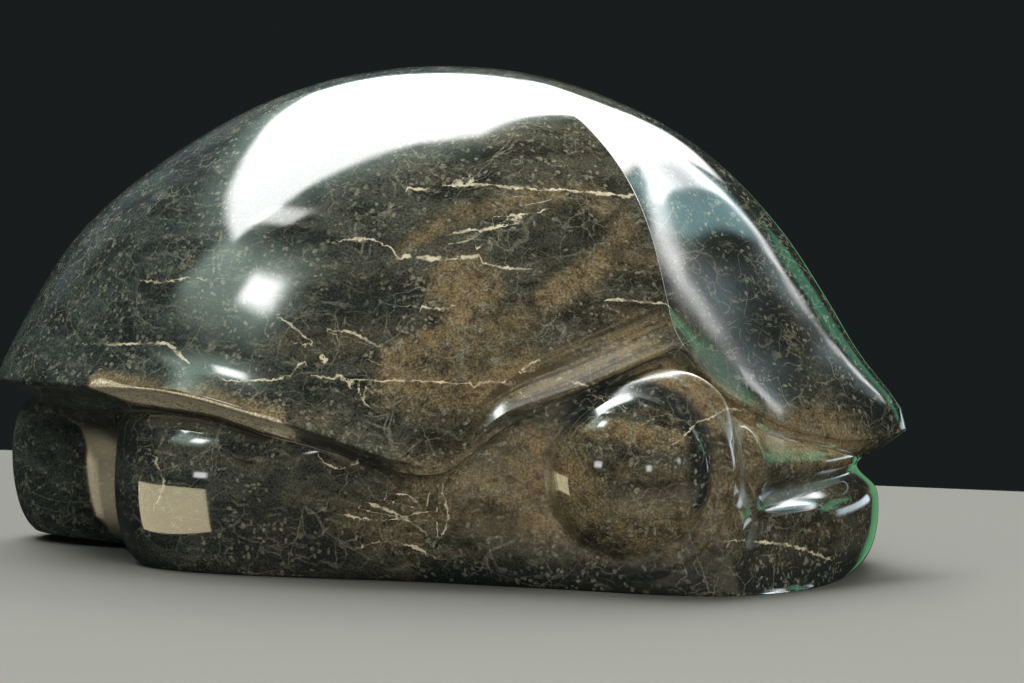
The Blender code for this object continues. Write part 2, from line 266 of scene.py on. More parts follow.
# Curves round the stone, (azimuth, metres).
RIM_HEIGHT = [(0, 0.0683), (2, 0.0680), (4, 0.0669), (7, 0.0658), (10, 0.0659), (14, 0.0678),
              (20, 0.0716), (24, 0.0760), (28, 0.0813), (32, 0.0869), (36, 0.0948), (38.5, 0.1022),
              (41, 0.1098), (43.5, 0.1092), (48, 0.1046), (56, 0.0950), (64, 0.0864), (70, 0.0792),
              (73, 0.0725), (76, 0.0640), (79, 0.0572), (82, 0.0549), (85, 0.0561), (90, 0.0595),
              (100, 0.0678), (110, 0.0741), (122, 0.0813), (130, 0.0843), (140, 0.0840), (155, 0.0815),
              (180, 0.0800)]
FLARE = [(0, 0.001), (20, 0.002), (36, 0.003), (41, 0.004), (50, 0.007), (60, 0.007), (68, 0.005),
         (76, 0.001), (84, 0.0015), (95, 0.004), (110, 0.005), (130, 0.004), (150, 0.002), (165, 0.0),
         (180, 0.0)]
GROOVE_HEIGHT = [(0, 0.0530), (5, 0.0560), (10, 0.0595), (16, 0.0625), (22, 0.0660), (28, 0.0715),
                 (33, 0.0790), (38, 0.0900), (42, 0.0985), (47, 0.0985), (54, 0.0900), (62, 0.0815),
                 (68, 0.0750), (72, 0.0680), (76, 0.0590), (80, 0.0520), (84, 0.0505), (92, 0.0530),
                 (105, 0.0600), (116, 0.0640), (128, 0.0705), (140, 0.0705), (155, 0.068), (180, 0.068)]
GROOVE_REACH = [(0, 0.1985), (5, 0.1970), (10, 0.1940), (16, 0.1890), (22, 0.1830), (28, 0.1765),
                (33, 0.1725), (38, 0.1690), (44, 0.1640), (52, 0.1580), (60, 0.1545), (68, 0.1515),
                (76, 0.1500), (82, 0.1485), (88, 0.1450), (96, 0.1395), (105, 0.1390), (116, 0.1410),
                (128, 0.1480), (140, 0.1600), (150, 0.1700), (160, 0.1830), (170, 0.1960),
                (180, 0.2000)]
RECESS = [(0, 0.0), (8, 0.0005), (16, 0.001), (26, 0.001), (34, 0.001), (41, 0.002), (50, 0.002),
          (60, 0.001), (70, 0.0), (84, 0.0005), (95, 0.002), (120, 0.003), (150, 0.003), (180, 0.001)]
BELLY = [(0, 0.2040), (10, 0.2032), (15, 0.2015), (20, 0.1993), (24, 0.1972), (28, 0.1955),
         (31, 0.1945), (34, 0.1950), (37, 0.1965), (40, 0.1965), (43, 0.1925), (48, 0.1840),
         (55, 0.1650), (65, 0.1500), (76, 0.1420), (90, 0.1370), (100, 0.1380), (110, 0.1440),
         (120, 0.1560), (130, 0.1690), (138, 0.1730), (144, 0.1690), (150, 0.1590), (156, 0.1490),
         (161, 0.1480), (166, 0.1730), (171, 0.2000), (180, 0.2120)]
BELLY_HEIGHT = [(0, 0.0272), (20, 0.025), (40, 0.030), (60, 0.034), (90, 0.035), (140, 0.038),
                (160, 0.042), (180, 0.044)]
BASE = [(0, 0.1900), (10, 0.1935), (20, 0.1980), (30, 0.2000), (38, 0.1960), (46, 0.1800), (55, 0.1540),
        (65, 0.1360), (76, 0.1240), (90, 0.1200), (100, 0.1250), (110, 0.1330), (120, 0.1450),
        (130, 0.1560), (137, 0.1580), (143, 0.1540), (150, 0.1450), (156, 0.1370), (161, 0.1370),
        (166, 0.1600), (171, 0.1850), (180, 0.1970)]
BASE_HEIGHT = [(0, 0.0), (140, 0.0), (150, 0.0), (158, 0.0005), (166, 0.003), (172, 0.004),
               (180, 0.004)]

# How finely the stone is drawn: columns as (first azimuth, last azimuth, steps), and rows from the top down.
FINE_COLUMNS = [(0, 8, 8), (8, 30, 26), (30, 66, 110), (66, 80, 22), (80, 140, 36), (140, 156, 14),
                (156, 180, 22)]
ROWS = {"dome": 64, "rim": 6, "low": (14, 56, 50), "base": 3}


def even_steps(r, z, marks, counts):
    """Equal steps down every column of a finely drawn profile, so many from mark to mark: the length so far
    is summed up, divided evenly, and radius and height are read off at each division."""
    length = np.hypot(np.diff(r, axis=0), np.diff(z, axis=0))
    along = np.concatenate([np.zeros((1, r.shape[1])), np.cumsum(length, axis=0)])
    out_r = np.empty((sum(counts), r.shape[1]))
    out_z = np.empty((sum(counts), r.shape[1]))
    for j in range(r.shape[1]):
        at = [0.0] + [along[m[j], j] for m in marks] + [along[-1, j]]
        stops = np.concatenate([np.linspace(at[i], at[i + 1], n + 1)[1:] for i, n in enumerate(counts)])
        out_r[:, j] = np.interp(stops, along[:, j], r[:, j])
        out_z[:, j] = np.interp(stops, along[:, j], z[:, j])
    return out_r, out_z


def meridians(t):
    """Radius, height and azimuth of every grid point: a column per azimuth, a row per step down.

    From the top down a column is the dome with its flare, an arc round the lip, a line hollowed by a sine
    under the rim, a quarter of a powered ellipse from the groove to the belly, another down to the base, and
    the flat base. The dome's columns swing forward with the crease, so that it runs along one of them.
    """
    a = t[None, :]
    side = fold(a)
    top = around(RIM_HEIGHT, t)
    u = np.linspace(0, 1, ROWS["dome"] + 1)[1:, None]
    z = FOOT + (HEIGHT - FOOT) * (1 - (u * dome_share(top)) ** DOME_POWER) ** DOME_RISE
    f = np.clip((top + LIFT - z) / LIFT, 0, 1)
    share = np.where(side < CREASE, side / CREASE, 1 - ease(side, CREASE, SWAY_END))
    sway = share * (crease_azimuth(z) - CREASE)
    swung = a + np.where((a + 180) % 360 < 180, -1.0, 1.0) * sway
    r = shell_radius(swung, z) + around(FLARE, t) * f**FLARE_POWER
    start = np.arctan2(r[-1] - r[-2], z[-2] - z[-1])
    k = np.linspace(0, 1, ROWS["rim"] + 1)[1:, None]
    melt = ease(side, *MELT_IN) * ease(side, *MELT_OUT)
    angle = start + (np.radians(EDGE_END + EDGE_END_MELTED * melt) - start) * k
    rim_r = r[-1] + EDGE * (np.cos(angle) - np.cos(start))
    rim_z = z[-1] + EDGE * (np.sin(angle) - np.sin(start))
    groove_r = around(GROOVE_REACH, t)
    groove_z = np.minimum(around(GROOVE_HEIGHT, t), rim_z[-1] - 0.0008)
    k = np.linspace(0, 1, 41)[:, None]
    under_r = rim_r[-1] + (groove_r - rim_r[-1]) * k - around(RECESS, t) * np.sin(np.pi * k**0.75) ** 2
    under_z = rim_z[-1] + (groove_z - rim_z[-1]) * k
    belly_r = around(BELLY, t)
    belly_z = around(BELLY_HEIGHT, t)
    k = np.radians(90 * (1 - np.linspace(0, 1, 161)[1:, None] ** 1.5))
    full = 1.0 - 0.45 * ease(side, 24.0, 40.0) * ease(side, 98.0, 84.0)
    full = full - 0.20 * ease(side, 28.0, 42.0) * ease(side, 72.0, 60.0)
    body_r = groove_r + (belly_r - groove_r) * np.cos(k) ** full
    body_z = belly_z + (groove_z - belly_z) * np.sin(k)
    base_r = around(BASE, t)
    base_z = np.maximum(around(BASE_HEIGHT, t), 0.0)
    k = np.linspace(0, -np.pi / 2, 81)[1:, None]
    foot_r = base_r + (belly_r - base_r) * np.cos(k)
    foot_z = belly_z + (belly_z - base_z) * np.sin(k)
    low_r = np.concatenate([under_r, body_r, foot_r])
    low_z = np.concatenate([under_z, body_z, foot_z])
    groove_row = np.full(len(t), 40)
    mouth_row = np.abs(low_z[41:] - around(MOUTH_HEIGHT, t)).argmin(axis=0) + 41
    low_r, low_z = even_steps(low_r, low_z, [groove_row, mouth_row], ROWS["low"])
    low_r = add_features(side, low_z, low_r)
    k = np.linspace(1, 0, ROWS["base"] + 1)[1:-1, None]
    flat_r = low_r[-1] * k
    flat_z = low_z[-1] * k**2
    radius = np.concatenate([r, rim_r, low_r, flat_r])
    height = np.concatenate([z, rim_z, low_z, flat_z])
    still = np.broadcast_to(a, (len(radius) - len(z), len(t)))
    return radius, height, np.radians(np.concatenate([swung, still]))


def stone_grid():
    """Points of the whole stone, row by row, with its box's middle at the origin, and the way moved for that.

    Columns are close together at the eye bosses, and the second side mirrors the first.
    """
    half = [np.linspace(lo, hi, n + 1)[:-1] for lo, hi, n in FINE_COLUMNS]
    half = np.append(np.concatenate(half), 180.0)
    t = np.concatenate([half, 360 - half[-2:0:-1]])
    radius, height, azimuth = meridians(t)
    x = radius * np.cos(azimuth)
    middle = (x.max() + x.min()) / 2
    return np.stack([x - middle, radius * np.sin(azimuth), height], -1), middle


def closed_mesh(name, grid):
    """Four-sided faces between neighbouring rows and columns of a grid that closes on itself, and a fan of
    triangles to one point at the top and one at the base."""
    m, n, _ = grid.shape
    top = [grid[0, :, 0].mean(), 0.0, HEIGHT]
    bottom = [grid[-1, :, 0].mean(), 0.0, 0.0]
    points = np.concatenate([grid.reshape(-1, 3), [top, bottom]])
    i = np.arange(m - 1)[:, None] * n
    j = np.arange(n)[None, :]
    k = (j + 1) % n
    quads = np.stack([i + j, i + n + j, i + n + k, i + k], -1).reshape(-1, 4)
    j = np.arange(n)
    k = (j + 1) % n
    caps = np.concatenate([
        np.stack([np.full(n, m * n), j, k], -1),
        np.stack([np.full(n, m * n + 1), (m - 1) * n + k, (m - 1) * n + j], -1),
    ])
    mesh = bpy.data.meshes.new(name)
    mesh.from_pydata(points.tolist(), [], quads.tolist() + caps.tolist())
    mesh.validate()
    mesh.shade_smooth()
    return mesh, points


# The colour of the stone follows its right side, where azimuths are below zero. The left side has only
# the clouds, fibres and crumbs of the general pattern.
DEGREE = 0.0026            # length of a degree round the stone, for distances along it
BED_REACH = 0.15           # radius on which the beds are laid out flat

# The long calcite veins, each by its width in metres and a few places (azimuth, height).
VEINS = [
    (0.0019, [(-90.0, 0.1458), (-86.4, 0.1455), (-81.9, 0.1449), (-78.0, 0.1455), (-74.7, 0.1462)]),
    (0.0012, [(-99.2, 0.1495), (-94.8, 0.1498)]),
    (0.0012, [(-71.6, 0.1433), (-68.1, 0.1422), (-64.8, 0.1415)]),
    (0.0010, [(-83.9, 0.1233), (-80.4, 0.1236)]),
    (0.0010, [(-104.4, 0.1518), (-99.9, 0.1530), (-96.2, 0.1519)]),
    (0.0009, [(-103.0, 0.1122), (-98.6, 0.1117), (-94.3, 0.1063)]),
    (0.0011, [(-78.7, 0.1569), (-70.6, 0.1591), (-63.8, 0.1621)]),
    (0.0010, [(-68.1, 0.1645), (-63.5, 0.1656), (-59.0, 0.1667)]),
    (0.0012, [(-81.7, 0.1770), (-73.6, 0.1783), (-65.9, 0.1777), (-58.8, 0.1767)]),
    (0.0013, [(-57.6, 0.1768), (-50.8, 0.1766), (-44.5, 0.1756), (-38.8, 0.1745)]),
    (0.0012, [(-89.9, 0.1757), (-83.6, 0.1765), (-79.8, 0.1789), (-74.8, 0.1817)]),
    (0.0009, [(-49.4, 0.1297), (-45.7, 0.1286), (-41.3, 0.1278)]),
    (0.0009, [(-146, 0.1000), (-139, 0.1013), (-135, 0.1025), (-132, 0.1031), (-130, 0.1001),
              (-128, 0.0960)]),
    (0.0009, [(-131, 0.1320), (-134, 0.1320), (-137, 0.1299), (-141, 0.1302)]),
    (0.0007, [(-112.2, 0.1157), (-104.1, 0.1024), (-99.6, 0.0914), (-95.0, 0.0822)]),
    (0.0007, [(-120, 0.0886), (-110, 0.0903), (-107, 0.0920), (-101, 0.0912), (-92, 0.0912), (-76, 0.0912)]),
    (0.0007, [(-109, 0.0930), (-107, 0.0977), (-104, 0.0988)]),
    (0.0012, [(-60.7, 0.0944), (-57.4, 0.0923), (-54.9, 0.0865)]),
    (0.0010, [(-38.8, 0.0252), (-25.0, 0.0186), (-18.0, 0.0115)]),
    (0.0008, [(-47.4, 0.0700), (-38.0, 0.0830), (-30.0, 0.0800)]),
    (0.0012, [(-98.0, 0.0300), (-90.0, 0.0290), (-84.0, 0.0330)]),
    (0.0014, [(-94.0, 0.0360), (-91.0, 0.0340)]),
    (0.0013, [(-89.0, 0.0410), (-86.0, 0.0400), (-84.5, 0.0370)]),
    (0.0011, [(-95.0, 0.0170), (-88.0, 0.0190), (-83.0, 0.0150)]),
    (0.0008, [(-131.0, 0.0500), (-129.0, 0.0400), (-130.0, 0.0320)]),
    (0.0008, [(-104.0, 0.0560), (-100.0, 0.0510), (-96.0, 0.0540)]),
    (0.0009, [(-92.0, 0.0350), (-87.0, 0.0300), (-83.0, 0.0240)]),
    (0.0008, [(-80.0, 0.0420), (-79.0, 0.0300), (-81.5, 0.0180)]),
    (0.0010, [(-73.7, 0.0915), (-70.2, 0.0930)]),
    (0.0010, [(-70.2, 0.0930), (-66.5, 0.0867)]),
    (0.0009, [(-69, 0.0918), (-67, 0.0968), (-65, 0.1012)]),
]

# Brown and gold beds, each by its strength, its half width and a few places (azimuth, height). Three are
# painted reflections: the brown on the upper boss, the tan under the hood and last a cream strip under the
# rim.
BEDS_AND_PAINTED_REFLECTIONS = [
    (0.55, 0.0050, [(-91, 0.150), (-79, 0.1644), (-68, 0.1693), (-57, 0.1742), (-46, 0.1765)]),
    (0.55, 0.0085, [(-46, 0.1735), (-43, 0.162), (-46, 0.150)]),
    (0.75, 0.0065, [(-50, 0.1453), (-55, 0.1373), (-61, 0.1283)]),
    (0.85, 0.0120, [(-80, 0.1334), (-74, 0.1334)]),
    (0.55, 0.0100, [(-88, 0.098), (-78, 0.105), (-66, 0.120)]),
    (1.30, 0.0030, [(-91.5, 0.1009), (-84.1, 0.1102), (-76.4, 0.1195)]),
    # Painted reflection: brown stripes on the upper part of the boss.
    (0.80, 0.0050, [(-57.0, 0.0740), (-47.5, 0.0700)]),
    (0.75, 0.0110, [(-90, 0.090), (-74, 0.088), (-66, 0.095)]),
    (0.70, 0.0075, [(-74, 0.0880), (-67, 0.0895), (-54, 0.1030), (-47, 0.1100)]),
    (0.60, 0.0200, [(-82, 0.044), (-70, 0.046)]),
    (0.90, 0.0150, [(-64, 0.058), (-62, 0.036)]),
    # Painted reflection: tan under the hood's edge, from the nose round to the boss.
    (1.10, 0.0120, [(-44, 0.090), (-33, 0.078), (-24, 0.070), (-10, 0.065)]),
    (0.55, 0.0150, [(-52, 0.030), (-40, 0.040), (-36, 0.060)]),
    (0.45, 0.0120, [(-98, 0.026), (-86, 0.022)]),
    # Painted reflection: a cream strip just under the rim towards the tail.
    (3.00, 0.0048, [(-140, 0.0800), (-134, 0.0785), (-124, 0.0765), (-115, 0.0710), (-109, 0.0680)]),
]

# Near-black places in the same terms: on the hood and its ridge, painted shade round the upper edge of the
# boss, and painted shade along the base.
DARK_PLACES_AND_PAINTED_SHADE = [
    (0.85, 0.0260, [(-22, 0.105), (-18, 0.150), (-16, 0.190)]),
    (0.85, 0.0160, [(-4, 0.080), (-4, 0.200)]),
    # Painted shade: a dark crescent round the upper edge of the boss, under the arch.
    (0.90, 0.0050, [(-58.3, 0.080), (-54.9, 0.0865), (-49.9, 0.0900), (-45.9, 0.0850), (-44.2, 0.0739),
                    (-44.2, 0.0568), (-44.7, 0.0435)]),
    (0.40, 0.0140, [(-66, 0.154), (-52, 0.160)]),
    # Painted shade: dark strokes low on the hind limb and along the base, next to the floor.
    (0.60, 0.0140, [(-118, 0.016), (-100, 0.014)]),
    (0.75, 0.0090, [(-82, 0.004), (-43, 0.005), (-10, 0.005)]),
    (0.60, 0.0120, [(-104, 0.125), (-90, 0.128)]),
]


def vein_line(stations, points, middle):
    """Points of one vein, close together: azimuth and height are cubic splines of the length along its
    places, and each point takes the radius of the nearest point of the stone."""
    a, z = np.array(stations, float).T
    s = np.concatenate([[0.0], np.cumsum(np.hypot(np.diff(a) * DEGREE, np.diff(z)))])
    h = np.diff(s)
    u = np.linspace(0, s[-1], 60)
    i = np.clip(np.searchsorted(s, u, side="right") - 1, 0, len(h) - 1)
    a = blend(s, a, bend_weights(s, np.diff(a) / h, h, False), h, i, i + 1, u)
    z = blend(s, z, bend_weights(s, np.diff(z) / h, h, False), h, i, i + 1, u)
    x, y, height = points.T
    bearing = np.degrees(np.arctan2(y, x + middle))
    miss = np.hypot((bearing[:, None] - a) * DEGREE, height[:, None] - z)
    r = np.hypot(x + middle, y)[miss.argmin(0)]
    return np.stack([r * np.cos(np.radians(a)) - middle, r * np.sin(np.radians(a)), z], -1)


def vein_field(points, middle):
    """For every point: the distance to the nearest vein, less than 0 on one side of it, the plain distance,
    and the vein's width.

    The side is the sign of the product of the vein's run, the point and the way from the vein to the point.
    """
    field = np.tile([1.0, 1.0, 0.0], (len(points), 1))
    for width, stations in VEINS:
        line = vein_line(stations, points, middle)
        near = np.flatnonzero(np.abs(points - line.mean(0)).max(1) < 0.5 * np.ptp(line, axis=0).max() + 0.03)
        gap = np.linalg.norm(points[near, None] - line[None], axis=2)
        at = gap.argmin(1)
        run = np.gradient(line, axis=0)[at]
        across = np.cross(run, points[near])
        side = np.sign(np.einsum("ij,ij->i", across, points[near] - line[at]))
        reach = gap.min(1)
        closer = reach < field[near, 1]
        field[near[closer]] = np.stack([side * reach, reach, np.full(len(near), width)], -1)[closer]
    return field


def bed_field(beds, azimuth, height):
    """Strength of the beds, painted reflections and painted shade at every point: full on a line, less by the
    square of the distance, and none at its edge.

    Where beds overlap the stronger one counts.
    """
    here = np.stack([np.radians(azimuth) * BED_REACH, height], -1)
    field = np.zeros(len(azimuth))
    for strength, half_width, stations in beds:
        line = np.array(stations) * (np.radians(1) * BED_REACH, 1.0)
        for start, end in zip(line[:-1], line[1:]):
            run = end - start
            t = np.clip((here - start) @ run / (run @ run), 0, 1)
            gap = np.linalg.norm(here - start - t[:, None] * run, axis=1)
            field = np.maximum(field, strength * np.clip(1 - (gap / (1.5 * half_width)) ** 2, 0, 1))
    return field


def soften(grid, rounds):
    """Each point below the rim moves half way to the mean of its four neighbours, as many rounds as asked."""
    low = slice(ROWS["dome"] + ROWS["rim"] + ROWS["low"][0], len(grid) - ROWS["base"] - 4)
    for _ in range(rounds):
        mean = (np.roll(grid, 1, 1) + np.roll(grid, -1, 1) + np.roll(grid, 1, 0) + np.roll(grid, -1, 0)) / 4
        grid[low] = (grid[low] + mean[low]) / 2
    return grid


def hollow(grid):
    """How hollow the surface is at each point, from 0 to 1.

    It is the height in millimetres by which the mean of the four points a few steps away stands out past the
    point, evened out over its neighbours and counted only below the rim.
    """
    along = np.roll(grid, -1, 1) - np.roll(grid, 1, 1)
    down = np.gradient(grid, axis=0)
    out = np.cross(down, along)
    out = out / np.maximum(np.linalg.norm(out, axis=2, keepdims=True), 1e-12)
    reach = 4
    ring = np.roll(grid, reach, 1) + np.roll(grid, -reach, 1)
    ring = (ring + np.roll(grid, reach, 0) + np.roll(grid, -reach, 0)) / 4
    depth = 1000 * np.einsum("ijk,ijk->ij", ring - grid, out)
    depth[:ROWS["dome"] + ROWS["rim"] + 2] = depth[-reach:] = 0
    for _ in range(6):
        mean = np.roll(depth, 1, 0) + np.roll(depth, -1, 0) + np.roll(depth, 1, 1) + np.roll(depth, -1, 1)
        depth = (depth + mean / 4) / 2
    return np.clip(depth, 0, 1)


def eye_ring(points, middle):
    """1 in the rings round each eye boss, which the polishing pad doesn't reach, and 0 away from them: a ramp
    up and one down over the distance from the boss's centre."""
    away = np.hypot(points[:, 0] + middle - EYE[0], points[:, 2] - EYE[2])
    inner = np.where(points[:, 2] > EYE[2] + 0.018, 0.033, 0.038)
    ring = np.clip((away - inner) / 0.003, 0, 1) * np.clip((0.064 - away) / 0.006, 0, 1)
    return ring * (np.abs(points[:, 1]) > 0.07) * (points[:, 0] < 0.15)


grid, middle = stone_grid()
grid = soften(grid, 6)
mesh, points = closed_mesh("fossil_turtle", grid)
veins = mesh.attributes.new("vein", "FLOAT_VECTOR", "POINT")
veins.data.foreach_set("vector", vein_field(points, middle).astype(np.float32).ravel())
azimuth = np.degrees(np.arctan2(points[:, 1], points[:, 0] + middle))
for name, beds in (("brown_places_and_painted_reflections", BEDS_AND_PAINTED_REFLECTIONS), ("dark_places_and_painted_shade", DARK_PLACES_AND_PAINTED_SHADE)):
    places = mesh.attributes.new(name, "FLOAT", "POINT")
    places.data.foreach_set("value", bed_field(beds, azimuth, points[:, 2]).astype(np.float32))
recesses = mesh.attributes.new("recesses", "FLOAT", "POINT")
RING_DULLNESS = 0.16
dull = np.maximum(np.append(hollow(grid).ravel(), [0, 0]), RING_DULLNESS * eye_ring(points, middle))
recesses.data.foreach_set("value", dull.astype(np.float32))
flow = mesh.attributes.new("flow", "FLOAT_VECTOR", "POINT")
flow.data.foreach_set("vector", np.stack([
    np.radians(fold(azimuth)) * BED_REACH,
    points[:, 2] - around(RIM_HEIGHT, azimuth),
    np.where(points[:, 1] < 0, 0.0, 1.0),
], -1).astype(np.float32).ravel())
turtle = bpy.data.objects.new("fossil_turtle", mesh)
bpy.context.scene.collection.objects.link(turtle)

# The stone's colour is built up in the order in which the rock formed: mud, beds with painted reflections and
# shade, broken shell, veins.
stone = bpy.data.materials.new("polished_fossil_stone")
stone.use_nodes = True
tree = stone.node_tree
surface = tree.nodes["Principled BSDF"]


def add(kind, **inputs):
    """A node with its sockets filled: a socket is linked and anything else is a value.

    A name that starts with an underscore is a setting, and i0, i1 and so on are sockets by number.
    """
    made = tree.nodes.new(kind)
    for key, value in inputs.items():
        if key.startswith("_"):
            setattr(made, key[1:], value)
    for key, value in inputs.items():
        if key.startswith("_"):
            continue
        numbered = key[0] == "i" and key[1:].isdigit()
        socket = made.inputs[int(key[1:]) if numbered else key.replace("_", " ")]
        if isinstance(value, bpy.types.NodeSocket):
            tree.links.new(value, socket)
        else:
            socket.default_value = value
    return made


def calc(operation, a, b=0.0, c=0.0):
    """One step of arithmetic on numbers."""
    return add("ShaderNodeMath", _operation=operation, i0=a, i1=b, i2=c).outputs[0]


def vector(operation, a, b=(0.0, 0.0, 0.0)):
    """One step of arithmetic on vectors."""
    return add("ShaderNodeVectorMath", _operation=operation, i0=a, i1=b).outputs[0]


def step(x, lo, hi):
    """Smooth step of x from 0 at lo to 1 at hi."""
    made = add("ShaderNodeMapRange", _interpolation_type="SMOOTHSTEP", Value=x, From_Min=lo, From_Max=hi)
    return made.outputs[0]


def noise(place, scale, detail=2.0, rough=0.5, twist=0.0):
    """Cloudy noise from 0 to 1."""
    made = add("ShaderNodeTexNoise", Vector=place, Scale=scale, Detail=detail, Roughness=rough)
    made.inputs["Distortion"].default_value = twist
    return made.outputs["Fac"]


def tint(fac, a, b):
    """Colour a turned into colour b by fac."""
    made = add("ShaderNodeMix", _data_type="RGBA", i0=fac)
    for socket, value in ((made.inputs[6], a), (made.inputs[7], b)):
        if isinstance(value, bpy.types.NodeSocket):
            tree.links.new(value, socket)
        else:
            socket.default_value = (*value, 1.0)
    return made.outputs[2]


def turned(place, angles, scale):
    """The place seen in a turned and stretched measure, so that a pattern gets a grain."""
    return add("ShaderNodeMapping", Vector=place, Rotation=angles, Scale=scale).outputs[0]


place = add("ShaderNodeTexCoord").outputs["Object"]
vein_socket = add("ShaderNodeAttribute", _attribute_name="vein").outputs["Vector"]
flow_socket = add("ShaderNodeAttribute", _attribute_name="flow").outputs["Vector"]
part_of = add("ShaderNodeSeparateXYZ", Vector=place)
x, y, z = part_of.outputs[0], part_of.outputs[1], part_of.outputs[2]

# The stone's own colours, in linear light.
SLATE = (0.046, 0.057, 0.050)
CHARCOAL = (0.016, 0.019, 0.017)
LOAM = (0.062, 0.060, 0.043)
PEAT = (0.017, 0.016, 0.011)
UMBER = (0.052, 0.040, 0.024)
OCHRE = (0.175, 0.130, 0.068)
GREY = (0.180, 0.172, 0.128)
CREAM = (0.60, 0.53, 0.38)
RUST = (0.040, 0.028, 0.016)


def lines(pattern, scale, width, where):
    """Thin lines of the given width where two cells of a cracked pattern meet, kept only inside the mask."""
    cells = add("ShaderNodeTexVoronoi", _feature="DISTANCE_TO_EDGE", Vector=pattern, Scale=scale)
    edge = cells.outputs["Distance"]
    return calc("MULTIPLY", step(edge, width * scale, width * scale * 0.3), where)


wobble = add("ShaderNodeTexNoise", Vector=place, Scale=22.0, Detail=3.0).outputs["Color"]
wobble = vector("SUBTRACT", wobble, (0.5, 0.5, 0.5))
warped = vector("ADD", place, vector("MULTIPLY", wobble, (0.016, 0.016, 0.016)))
fine_wobble = add("ShaderNodeTexNoise", Vector=place, Scale=130.0, Detail=2.0).outputs["Color"]
fine_wobble = vector("SUBTRACT", fine_wobble, (0.5, 0.5, 0.5))
curled = vector("ADD", warped, vector("MULTIPLY", fine_wobble, (0.006, 0.006, 0.006)))

# Cool slate towards the tail and warmer loam towards the nose, both clouded with near black.
clouds = noise(turned(warped, (0.0, -0.4, 0.0), (1.0, 1.0, 2.4)), 30.0, 4.0, 0.62)
small_clouds = noise(warped, 120.0, 3.0, 0.6)
light_part = calc("MULTIPLY", step(clouds, 0.38, 0.62), 0.7)
light_part = calc("MULTIPLY_ADD", step(small_clouds, 0.32, 0.68), 0.3, light_part)
nose_side = calc("MULTIPLY_ADD", clouds, 0.25, calc("MULTIPLY_ADD", z, -0.35, x))
nose_side = step(nose_side, -0.06, 0.16)
colour = tint(light_part, tint(nose_side, CHARCOAL, PEAT), tint(nose_side, SLATE, LOAM))

# Brown and gold beds: in places of their own, and here and there towards the nose. Some places of their own
# are painted reflections, under the hood and on the boss.
brown_and_reflection_socket = add("ShaderNodeAttribute", _attribute_name="brown_places_and_painted_reflections").outputs["Fac"]
bed = noise(turned(warped, (0.0, -0.25, 0.0), (1.0, 0.6, 5.0)), 11.0, 4.0, 0.6)
beds = calc("MULTIPLY", nose_side, step(bed, 0.50, 0.68))
ragged_brown_and_reflection = step(calc("MULTIPLY_ADD", clouds, 0.5, brown_and_reflection_socket), 0.35, 1.05)
# Near-black places, with painted shade round the upper edge of the boss and along the base.
dark_and_shade_socket = add("ShaderNodeAttribute", _attribute_name="dark_places_and_painted_shade").outputs["Fac"]
ragged_dark_and_shade = step(calc("MULTIPLY_ADD", clouds, 0.5, dark_and_shade_socket), 0.40, 1.05)
warm_beds_and_reflections = calc("MAXIMUM", calc("MULTIPLY", ragged_brown_and_reflection, 0.9), calc("MULTIPLY", beds, 0.45))
crumbs = calc("MULTIPLY_ADD", brown_and_reflection_socket, 0.22, small_clouds)
crumbs = calc("MULTIPLY_ADD", noise(curled, 330.0, 2.0, 0.6), 0.9, crumbs)
colour = tint(warm_beds_and_reflections, colour, tint(step(crumbs, 0.78, 1.28), UMBER, OCHRE))
# A cream strip of painted reflection under the rim towards the tail.
painted_rim_reflection = step(calc("MULTIPLY_ADD", small_clouds, 0.6, brown_and_reflection_socket), 1.6, 2.1)
colour = tint(painted_rim_reflection, colour, CREAM)
colour = tint(ragged_dark_and_shade, colour, CHARCOAL)

# Broken shell: short pale fibres, small fragments in drifts, thin outlines and curls, and a sandy grain.
fibres = noise(turned(curled, (0.0, -0.35, 0.5), (110.0, 110.0, 420.0)), 1.0, 3.0, 0.6)
colour = tint(calc("MULTIPLY", step(fibres, 0.54, 0.74), 0.50), colour, GREY)
drift = noise(vector("ADD", warped, (0.3, 0.0, 0.0)), 24.0, 3.0, 0.6)
fragments = add("ShaderNodeTexVoronoi", Vector=curled, Scale=420.0)
pick = add("ShaderNodeSeparateColor", Color=fragments.outputs["Color"]).outputs[0]
in_drift = step(calc("MULTIPLY_ADD", drift, 1.2, pick), 1.30, 1.55)
flecks = calc("MULTIPLY", step(fragments.outputs["Distance"], 0.55, 0.30), in_drift)
colour = tint(calc("MULTIPLY", flecks, 0.75), colour, GREY)
here = step(noise(vector("ADD", warped, (0.0, 0.3, 0.0)), 40.0, 2.0), 0.47, 0.62)
there = step(noise(vector("ADD", warped, (0.0, 0.0, 0.3)), 55.0, 2.0), 0.45, 0.60)
colour = tint(calc("MULTIPLY", lines(warped, 28.0, 0.00045, here), 0.45), colour, GREY)
colour = tint(calc("MULTIPLY", lines(curled, 75.0, 0.00035, there), 0.40), colour, GREY)
curl = calc("ABSOLUTE", calc("SUBTRACT", noise(warped, 60.0, 1.5, 0.5, 0.4), 0.5))
colour = tint(calc("MULTIPLY", step(curl, 0.012, 0.003), calc("MULTIPLY", here, 0.5)), colour, GREY)
grain = noise(place, 1000.0, 2.0, 0.6)
speck = calc("MULTIPLY_ADD", step(grain, 0.30, 0.75), 1.05, 0.58)
colour = vector("MULTIPLY", colour, add("ShaderNodeCombineXYZ", X=speck, Y=speck, Z=speck).outputs[0])

